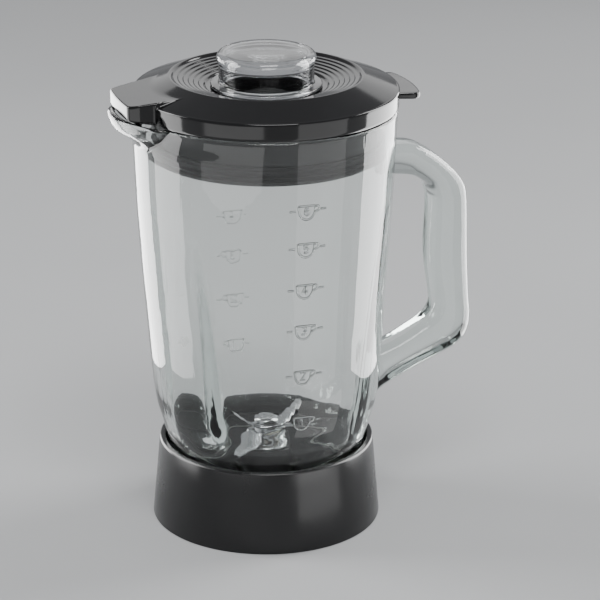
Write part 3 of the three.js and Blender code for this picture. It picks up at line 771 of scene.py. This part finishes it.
def rib_depth(z, angle):
    """Depth of the four inner ribs. Each starts as a point near the rim and grows towards the floor."""
    down = min(1.0, max(0.0, (RIB_TOP - z) / RIB_LENGTH))
    depth = RIB_DEPTH * down**0.72 * float(smooth(z, 44, 66))
    half_width = 7 + 14 * down
    off = np.abs(np.abs(np.abs(angle) - 90) - RIB_ANGLE) / half_width
    return np.where(off < 1, depth * np.cos(np.minimum(off, 1) * math.pi / 2) ** (1.4 + 0.6 * down), 0)


def jug_angles():
    """Angles from the spout's direction, closest together across the spout."""
    near = np.linspace(0, 30, 46)
    far = np.linspace(30, 180, 86)[1:]
    half = np.concatenate([near, far])
    return np.concatenate([half, -half[1:-1][::-1]])


def jug_rows():
    """(radius or None, height, is it the inner wall) from the neck's foot up the outside and down inside."""
    low, high = NECK_BASE + 0.6, RIM - RIM_ROUND_RISE
    up = [np.linspace(low, 70, 30), np.linspace(70, 210, 74)[1:], np.linspace(210, high, 22)[1:]]
    up = np.concatenate(up)
    rows = [(None, z, False) for z in up]
    for k in range(1, 8):
        a = math.pi * k / 8
        radius = RIM_MIDDLE_R + RIM_ROUND_R * math.cos(a)
        rows.append((radius, high + RIM_ROUND_RISE * math.sin(a), a > math.pi / 2))
    rows += [(None, z, True) for z in up[::-1]]
    rows += [(47.9, NECK_BASE + 0.1, True), (48.4, NECK_BASE, True)]
    rows += [(51.2, NECK_BASE, False), (51.8, NECK_BASE + 0.1, False)]
    return rows


def make_jug():
    """Wall, rim and spout in one skin, joined with the handle and the four bayonet lugs."""
    angles = jug_angles()
    points = []
    rows = jug_rows()
    for fixed, z, inside in rows:
        wall = inner_radius(z) if inside else outer_radius(z)
        base = wall if fixed is None else fixed
        radius = base + spout_shift(z, angles)
        if inside:
            radius = radius - rib_depth(z, angles)
        x = -radius * np.cos(np.radians(angles))
        y = radius * np.sin(np.radians(angles))
        rise = SPOUT_RISE * np.maximum(0, -x - RISE_START) * float(smooth(z, RIM - 5, RIM - 1.5))
        points.append(np.stack([x, y, z + rise], 1))
    count = len(angles)
    verts = np.concatenate(points)
    jug = piece("jug", verts, grid_faces(len(rows), count, True), GLASS, None, None)
    lugs = []
    for angle in SCREW_ANGLES:
        turn = np.radians(np.linspace(angle - LUG_HALF_ANGLE, angle + LUG_HALF_ANGLE, 20))
        section = [(50, LUG_BASE), (LUG_R, LUG_BASE, 1.0), (LUG_R, LUG_TOP, 1.0), (50, LUG_TOP)]
        section = fillet(section, 3)
        rings = [[(r * math.cos(t), r * math.sin(t), z) for r, z in section] for t in turn]
        lugs.append(piece("lug", *loft(rings), GLASS, None, None))
    combine(jug, [make_handle()] + lugs, "UNION")
    dress(jug, GLASS, 50)
    bind(jug, "jug", ["glass_jug"])


def make_handle():
    """Solid handle between its outer and inner outline, cut off inside the jug's wall."""
    steps = 161
    outer = curve_through(
        [
            (56, 205.2), (66, 204.4), (80, 203.6), (89, 199.6), (98, 192.8), (106, 184.6), (110.6, 177),
            (112, 166), (113, 138), (114.2, 115), (115.2, 103), (113.6, 93.6), (108.4, 86.4), (100, 82.2),
            (82, 74.6), (66, 66.6), (54, 58.5),
        ],
        steps,
    )
    inner = curve_through(
        [
            (56, 186.6), (65, 187.2), (72.6, 187), (80.5, 185.4), (85.6, 182.4), (88.6, 179.8), (90.4, 175.6),
            (91.6, 168), (91.0, 140), (94.2, 116), (94.8, 110.6), (93.8, 106.4), (90.4, 102.2), (85, 98.6),
            (72, 91.8), (63, 88.6), (54, 86.5),
        ],
        steps,
    )
    rings = []
    for k, (a, b) in enumerate(zip(outer, inner)):
        middle, half = (a + b) / 2, (a - b) / 2
        share = k / (steps - 1)
        near_root = float(smooth(share, 0.085, 0.0)) + float(smooth(share, 0.93, 1.0))
        half_width = HANDLE_HALF_WIDTH * (1 + HANDLE_FLARE * near_root)
        ring = []
        for turn in np.linspace(0, TAU, 48, endpoint=False):
            c, s = math.cos(turn), math.sin(turn)
            along = math.copysign(abs(c) ** HANDLE_ROUND, c)
            across = math.copysign(abs(s) ** HANDLE_ROUND, s)
            point = middle + half * along
            ring.append((point[0], half_width * across, point[1]))
        rings.append(ring)
    handle = piece("handle", *loft(rings), GLASS, None, None)
    core = [(0, NECK_BASE)]
    core += [(outer_radius(z) - 2.2, z) for z in np.linspace(NECK_BASE + 0.6, RIM - 2, 60)]
    core += [(0, RIM - 2)]
    return combine(handle, [piece("core", *shell(core, 120), GLASS, None, None)], "DIFFERENCE")


make_jug()

# Lines of each number, across and up from its middle.
DIGITS = {
    1: [[(-0.9, 1.4), (0.1, 2.2), (0.1, -2.2)]],
    2: [[(-1.2, 1.3), (-0.6, 2.1), (0.5, 2.1), (1.1, 1.2), (0.8, 0.2), (-1.2, -2.1), (1.2, -2.1)]],
    3: [
        [(-1.1, 1.7), (0, 2.2), (1, 1.5), (0.8, 0.4), (0, 0.1), (1, -0.5), (1.1, -1.5), (0, -2.2),
         (-1.2, -1.7)],
    ],
    4: [[(0.5, -2.2), (0.5, 2.2), (-1.4, -0.8), (1.4, -0.8)]],
    5: [[(1, 2.1), (-0.9, 2.1), (-1, 0.3), (0.2, 0.6), (1.1, -0.2), (1, -1.5), (0, -2.2), (-1.1, -1.8)]],
    6: [
        [(0.9, 2), (-0.2, 1.9), (-1.1, 0.4), (-1.1, -1.3), (0, -2.2), (1.1, -1.4), (0.9, -0.1), (0, 0.3),
         (-1, -0.4)],
    ],
}
MARK_HEIGHTS = (74.7, 101.1, 126.7, 149.6, 172.5, 193.1)


def stroke(points, height, turn, radius, closed=False):
    """Raised line on the outside of the glass. Points are across and up from the mark's middle."""
    line = list(points) + ([points[0]] if closed else [])
    dense = []
    for (x0, y0), (x1, y1) in zip(line[:-1], line[1:]):
        parts = max(1, int(math.hypot(x1 - x0, y1 - y0) / 0.8))
        dense += [(x0 + (x1 - x0) * k / parts, y0 + (y1 - y0) * k / parts) for k in range(parts)]
    dense.append(line[-1])
    placed = []
    for across, up in dense:
        wall = outer_radius(height + up) + float(spout_shift(height + up, np.array([90.0]))[0])
        angle = math.radians(turn) + across / wall
        placed.append(Vector((wall * math.cos(angle), wall * math.sin(angle), height + up)))
    rings = []
    for i, point in enumerate(placed):
        ahead = placed[min(i + 1, len(placed) - 1)] - placed[max(i - 1, 0)]
        out = Vector((point.x, point.y, 0)).normalized()
        side = ahead.cross(out).normalized()
        rings.append([
            tuple(point + side * (math.cos(t) * radius) + out * (math.sin(t) * radius * 0.8))
            for t in np.linspace(0, TAU, 8, endpoint=False)
        ])
    return loft(rings)


def make_scale(name, turn, radius):
    """Six cup marks with their numbers, one above the other."""
    verts, faces = [], []
    bowl = [math.radians(a) for a in range(180, 361, 15)]
    cup = [(4.3 * math.cos(a), 0.6 + 5.2 * math.sin(a)) for a in bowl]
    cup = [(-4.5, 2.8)] + cup + [(4.5, 2.8)]
    ear = [(4.4, 2.2), (5.8, 2.6), (6.9, 1.6), (6.2, 0.0), (4.1, -0.6)]
    ticks = [[(-9.2, 0.2), (-6.0, 0.2)], [(7.6, 0.6), (10.4, 0.6)]]
    for number, height in enumerate(MARK_HEIGHTS, 1):
        lines = [(cup, True), (ear, False)]
        lines += [(line, False) for line in ticks + DIGITS[number]]
        for line, closed in lines:
            v, f = stroke(line, height, turn, radius, closed)
            start = len(verts)
            verts += [tuple(p) for p in v]
            faces += [tuple(start + i for i in face) for face in f]
    piece(name, verts, faces, MARKS, "jug", "jug_glass", sharp=60)


make_scale("cup_marks_front", -90, 0.6)
make_scale("cup_marks_back", 90, 0.4)


# ---------------------------------------------------------------- lid

cover_lo, cover_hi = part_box("lid_cover")
LID_R = cover_hi.y / MM
SLEEVE_BASE = cover_lo.z / MM
CREST = cover_hi.z / MM
CREST_R = 51.6
LID_BASE = RIM + 0.5
LID_EDGE = CREST - 7.5
LID_FALL = 0.384
LID_WALL = 2.9
RECESS = CREST - 6.3
RECESS_R, RECESS_FLOOR_R = 49.6, 31
RIDGES = 6
FEED_R = 25.5
FEED_WALL = 1.9
NOSE_FRONT = AXIS_X / MM - cover_lo.x / MM
NOSE_HALF_WIDTH = 19
NOSE_SLANT = 0.19
TAB_REACH = cover_hi.x / MM - AXIS_X / MM
TAB_BASE, TAB_TOP = 232.9, 236.2
TAB_ROOT_R = 67.5
TAB_HALF_ANGLE = 16.5


def soft_max(a, b, size):
    """The larger of two values, rounded over where they are close."""
    h = np.clip(0.5 + 0.5 * (a - b) / size, 0, 1)
    return b * (1 - h) + a * h + size * h * (1 - h)


def nose_radius(angle):
    """Distance from the axis to the nose's outline at an angle from its middle, in degrees."""
    a = np.radians(np.abs(angle))
    to_front = (NOSE_FRONT - 0.9 * (np.tan(a) / math.tan(math.radians(13))) ** 2) / np.cos(a)
    to_side = (NOSE_HALF_WIDTH + NOSE_SLANT * NOSE_FRONT) / (np.sin(a) + NOSE_SLANT * np.cos(a) + 1e-9)
    return -soft_max(-to_front, -to_side, 7.0)


def make_lid_cover():
    """Lid with its band, sloping deck, nose over the spout, ridged recess and feed sleeve, in one skin."""
    near = np.linspace(0, 12, 25)
    side = np.linspace(12, 30, 73)[1:]
    far = np.linspace(30, 180, 76)[1:]
    half = np.concatenate([near, side, far])
    angles = np.concatenate([half, -half[1:-1][::-1]])
    turn = np.radians(angles)
    nose = nose_radius(angles)
    rim_r = np.where(np.abs(angles) < 40, soft_max(np.full_like(angles, LID_R), nose, 1.2), LID_R)
    rim_r = np.where(rim_r > LID_R + 0.31, rim_r, LID_R)

    def deck(radius, ang):
        cone = CREST - 0.3 - LID_FALL * (radius - CREST_R)
        across = radius * np.abs(np.sin(ang))
        ahead = radius * np.cos(ang)
        limit = NOSE_HALF_WIDTH + NOSE_SLANT * (NOSE_FRONT - ahead) - 0.6
        top = CREST - 3.7 - 0.13 * (ahead - 60) - 2.4 * np.maximum(0, across - limit)
        return soft_max(cone, np.where(ahead > 40, top, -1e3), 0.5)

    rows = []

    def row(radius, height):
        radius = np.broadcast_to(radius, angles.shape)
        height = np.broadcast_to(height, angles.shape)
        rows.append(np.stack([-radius * np.cos(turn), radius * np.sin(turn), height], 1))

    def base_at(radius):
        return LID_BASE + SPOUT_RISE * np.maximum(0, radius * np.cos(turn) - RISE_START)

    # Underside, from the sleeve's foot out to the band.
    sleeve_r = FEED_R + FEED_WALL
    row(FEED_R + 0.5, SLEEVE_BASE)
    row(sleeve_r - 0.5, SLEEVE_BASE)
    row(sleeve_r, SLEEVE_BASE + 0.6)
    row(sleeve_r, RECESS - 3.3)
    row(sleeve_r + 0.9, RECESS - 2.3)
    row(RECESS_FLOOR_R, RECESS - 2.1)
    slope = (CREST - 3.8 - RECESS + 2.1) / (RECESS_R - RECESS_FLOOR_R)
    for r in np.linspace(RECESS_FLOOR_R + 2, RECESS_R, 6):
        row(r, RECESS - 2.1 + slope * (r - RECESS_FLOOR_R))
    inner_r = rim_r - LID_WALL
    for k in range(1, 9):
        r = RECESS_R + (inner_r - 1.4 - RECESS_R) * k / 8
        row(r, deck(r, turn) - 2.6)
    row(inner_r, LID_EDGE - 3.2)
    row(inner_r, base_at(inner_r) + 0.4)
    row(inner_r + 0.3, base_at(inner_r))
    # Outside, up the band and over the deck.
    row(rim_r - 0.9, base_at(rim_r))
    row(rim_r - 0.5, base_at(rim_r) + 0.1)
    row(rim_r - 0.15, base_at(rim_r) + 0.6)
    for share in (0.1, 0.5, 0.9):
        low, high = base_at(rim_r) + 0.8, deck(rim_r - 1.2, turn) - 1.1
        row(rim_r - 0.1 + 0.1 * share, low + (high - low) * share)
    for k in range(0, 7):
        a = math.pi / 2 * k / 6
        edge = deck(rim_r - 1.2, turn)
        row(rim_r - 1.3 + 1.3 * math.cos(a), edge - 1.0 + 1.0 * math.sin(a))
    for share in np.linspace(0.0, 1.0, 40)[1:]:
        r = (rim_r - 1.3) + (52.0 - (rim_r - 1.3)) * share
        row(r, deck(r, turn))
    # Crest, ridged recess and the sleeve's bore.
    ridges = []
    for k in range(RIDGES):
        r, z = RECESS_R - 1 - 2.7 * k, CREST - 1.4 - 0.72 * k
        ridges += [(r, z, 0.5), (r - 2.1, z - 0.12, 0.5)]
    plain = fillet([
        (52.0, CREST - 0.45), (50.9, CREST, 0.9), (RECESS_R, CREST - 0.35, 0.5), *ridges, (31.8, RECESS, 0.6),
        (FEED_R, RECESS, 0.9), (FEED_R, SLEEVE_BASE + 0.5),
    ], 3)
    for r, z in plain[1:]:
        row(r, z)
    verts = np.concatenate(rows)
    faces = grid_faces(len(rows), len(angles), True)
    piece("lid_cover_moulding", verts, faces, GLOSS, "lid", "gloss_black", ["lid_cover"], sharp=32)


def make_tab():
    """Thumb tab on the handle's side, a flange that follows the lid's edge."""
    rings = []
    for t in np.linspace(-TAB_HALF_ANGLE, TAB_HALF_ANGLE, 67):
        edge = max(0.0, abs(t) - 13.4) / 3.1
        outer = TAB_REACH - 5.2 * (1 - math.sqrt(max(0.0, 1 - edge * edge)))
        thin = 0.9 * (1 - math.sqrt(max(0.0, 1 - max(0.0, abs(t) - 15.9) / 0.6)))
        low, high = TAB_BASE + thin, TAB_TOP - thin
        section = fillet([(TAB_ROOT_R, low), (outer, low, 1.5), (outer, high, 1.5), (TAB_ROOT_R, high)], 5)
        a = math.radians(t)
        rings.append([(r * math.cos(a), r * math.sin(a), z) for r, z in section])
    piece("lid_tab", *loft(rings), GLOSS, "lid", "gloss_black")


def make_plug():
    """Tapered skirt under the lid, with the seal's band and three fins round it."""
    outer, base, top = span("lid_plug")
    taper, wall, hole_r = 2.3, 2.4, 53
    low_r = outer - taper
    shoulder = base + 24.8
    lathe(
        "lid_plug_moulding",
        [
            (hole_r, base, 0.5), (low_r, base, 1.2), (outer - 0.4, base + 19.5), (outer, shoulder, 1.0),
            (outer, top, 0.4), (outer - wall, top, 0.4), (outer - wall, shoulder, 1.0),
            (low_r - wall, base + 2, 0.6), (hole_r, base + 2, 0.5),
        ],
        SATIN, "lid", "satin_black", ["lid_plug"], segments=200,
    )
    outer, base, top = span("lid_seal")
    gap, band = 0.35, 1.2

    def plug_r(z):
        return low_r + taper * (z - 205.6) / 23.9

    profile = [(plug_r(base) + gap, base), (plug_r(base) + band, base, 0.3)]
    for z in (base + 1.3, base + 3.9, base + 7.1):
        root = plug_r(z) + band
        profile += [(root, z - 0.7, 0.2), (outer, z - 0.12, 0.3), (outer, z + 0.1, 0.3), (root, z + 0.6, 0.2)]
    profile += [(plug_r(top) + band, top, 0.3), (plug_r(top) + gap, top)]
    lathe("lid_seal_ring", profile, RUBBER, "lid", "black_rubber", ["lid_seal"], segments=200)


def make_cap():
    """Clear cup, open at its foot, with a wider head and a flange that rests in the recess."""
    flange, base, top = span("measuring_cap")
    head, wall, bore = flange - 3.2, flange - 4.4, flange - 6.6
    deck = RECESS + 0.3
    profile = [
        (0, top - 0.55), (9, top - 0.35, 4), (17, top, 4), (head - 1.6, top - 0.7, 1.6),
        (head, top - 2.8, 1.4), (head, top - 5.0, 0.9), (wall, top - 7.2, 1.2), (wall + 0.2, deck + 1.6, 0.8),
        (flange, deck + 1.6, 0.7), (flange, deck, 0.5), (wall, deck, 0.3), (wall - 0.2, base, 0.7),
        (bore, base, 0.7), (bore + 0.1, top - 3.6, 2.2), (12, top - 2.6, 4), (0, top - 2.6),
    ]
    lathe(
        "measuring_cap_clear", profile,
        CLEAR, "cap", "clear_plastic", ["measuring_cap"], segments=200, steps=6,
    )


make_lid_cover()
make_tab()
make_plug()
make_cap()


# ---------------------------------------------------------------- floor and light

# In metres.
FLOOR_SIZE = 3.2
JUG_MIDDLE = 0.13


def make_floor():
    bm = bmesh.new()
    bmesh.ops.create_grid(bm, x_segments=24, y_segments=24, size=FLOOR_SIZE)
    mesh = bpy.data.meshes.new("floor")
    bm.to_mesh(mesh)
    bm.free()
    floor = bpy.data.objects.new("floor", mesh)
    bpy.context.scene.collection.objects.link(floor)
    n = Nodes("pale_floor")
    tint = n.ramp(n.noise(2.5, 3, 0.5), [(0.3, (0.44, 0.445, 0.45)), (0.7, (0.47, 0.475, 0.48))])
    rough = n.spread(n.noise(9, 3, 0.5), 0.7, 0.82)
    n.set(Specular_IOR_Level=0.0)
    mesh.materials.append(n.done(tint, rough))


def softbox(name, turn, height, distance, width, tall, power, shine_only=False):
    """Soft light that faces the jug, in metres and watts. turn is in degrees round the jug from the
    camera, anticlockwise from above, and height is above the jug's middle. A shine_only light stands
    upright and shows in reflections only."""
    data = bpy.data.lights.new(name, "AREA")
    data.shape = "RECTANGLE"
    data.size = width
    data.size_y = tall
    data.energy = power
    light = bpy.data.objects.new(name, data)
    bpy.context.scene.collection.objects.link(light)
    a = VIEW_TURN + math.radians(turn) - math.pi / 2
    middle = Vector((AXIS_X, 0, JUG_MIDDLE))
    place = middle + Vector((math.cos(a) * distance, math.sin(a) * distance, height))
    target = middle + Vector((0, 0, height)) if shine_only else middle
    light.location = place
    light.rotation_mode = "QUATERNION"
    light.rotation_quaternion = (target - place).to_track_quat("-Z", "Y")
    light.visible_camera = False
    light.visible_diffuse = not shine_only
    light.visible_transmission = not shine_only


def make_lights():
    """Three soft lights, panels close to the jug that show in its reflections only, and a pale world."""
    softbox("left_key", -100, 0.75, 1.2, 0.6, 0.8, 15)
    softbox("right_key", 118, 0.75, 1.2, 0.6, 0.8, 15)
    softbox("top_front", 10, 1.5, 0.9, 0.9, 0.6, 17)
    softbox("left_shine", -122, 0.015, 0.21, 0.13, 0.275, 1.15, True)
    softbox("left_soft_shine", -80, 0.015, 0.21, 0.11, 0.275, 0.5, True)
    softbox("right_shine", 112, 0.015, 0.21, 0.22, 0.275, 1.8, True)
    softbox("front_shine", 44, 0.015, 0.22, 0.16, 0.275, 0.16, True)
    softbox("collar_shine", 44, -0.1, 0.11, 0.075, 0.054, 0.018, True)
    softbox("band_shine", -26, -0.065, 0.5, 0.46, 0.12, 0.22, True)
    softbox("back_shine", 180, 0.31, 0.5, 0.55, 0.22, 0.4, True)
    world = bpy.data.worlds.new("studio")
    world.use_nodes = True
    background = world.node_tree.nodes["Background"]
    background.inputs["Color"].default_value = (0.86, 0.87, 0.9, 1)
    background.inputs["Strength"].default_value = 0.42
    bpy.context.scene.world = world


make_floor()
make_lights()
